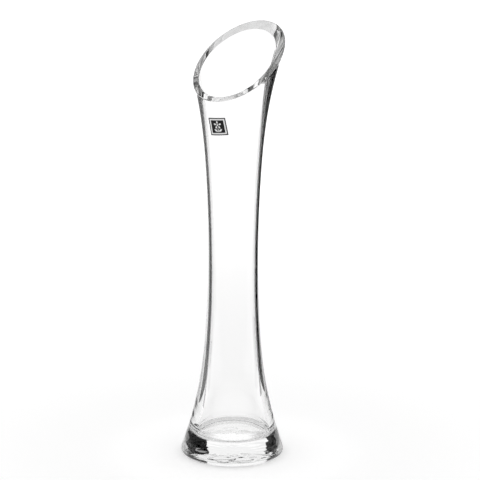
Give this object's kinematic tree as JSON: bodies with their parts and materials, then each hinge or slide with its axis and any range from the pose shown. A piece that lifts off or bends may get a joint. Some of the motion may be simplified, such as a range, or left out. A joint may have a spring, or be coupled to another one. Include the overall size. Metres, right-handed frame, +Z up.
{
  "type": "bud vase",
  "caption": "Tall waisted clear-glass bud vase with a thick solid foot, a flared mouth cut at a slant and ground flat, and a small square stuck-on label.",
  "frame": {"origin": "centre of the plane that the foot ring stands on, on the vase's axis", "axes": "+Z up along the vase's axis; -Y towards the low side of the slanted mouth, where the label is; +Y towards the high lip; +X completes the right-handed frame"},
  "size_m": [0.0712, 0.0742, 0.3],
  "materials": {
    "clear_glass": "polished",
    "label_adhesive": "matte",
    "label_film": "satin",
    "label_border_ink": "satin",
    "label_panel_ink": "satin"
  },
  "bodies": {
    "root": {"glass_body": "clear_glass", "label_adhesive": "label_adhesive", "label_film": "label_film", "label_border_print": "label_border_ink", "label_panel_print": "label_panel_ink"}
  },
  "joints": []
}
